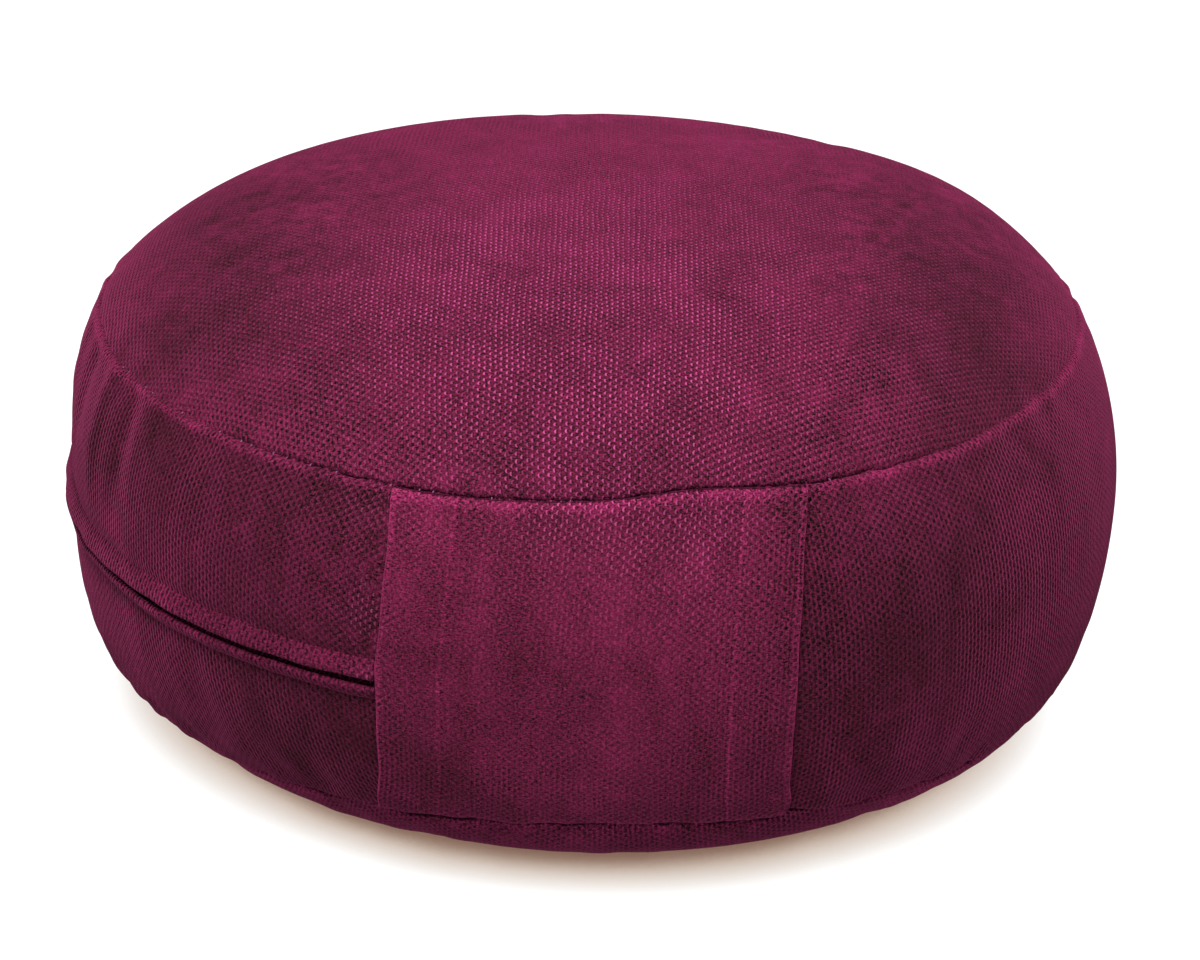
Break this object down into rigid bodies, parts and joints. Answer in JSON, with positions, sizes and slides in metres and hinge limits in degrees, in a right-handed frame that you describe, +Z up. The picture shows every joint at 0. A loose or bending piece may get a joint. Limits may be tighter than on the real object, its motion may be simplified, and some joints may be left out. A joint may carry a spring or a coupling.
{
  "type": "zafu meditation cushion",
  "caption": "Round, firmly filled floor cushion with a crowned top, a full side band, sewn-in seams, a hemmed front panel and a covered slot round the left side.",
  "frame": {"origin": "middle of the flat foot on the surface it stands on", "axes": "+Z up; -Y is the front, where the hemmed panel is; +X is the viewer's right, facing the panel"},
  "size_m": [0.3343, 0.3314, 0.167],
  "materials": {
    "body_cloth": "deep plum velour with small staggered raised dots, matt with a soft sheen at grazing angles",
    "panel_cloth": "the same plum velour, its nap a little lighter",
    "zip_edge_cloth": "the same plum velour, folded and stitched"
  },
  "bodies": {
    "root": {"cushion": "body_cloth", "front_panel": "panel_cloth", "zip_flap_upper": "zip_edge_cloth", "zip_lip_lower": "zip_edge_cloth"}
  },
  "joints": []
}
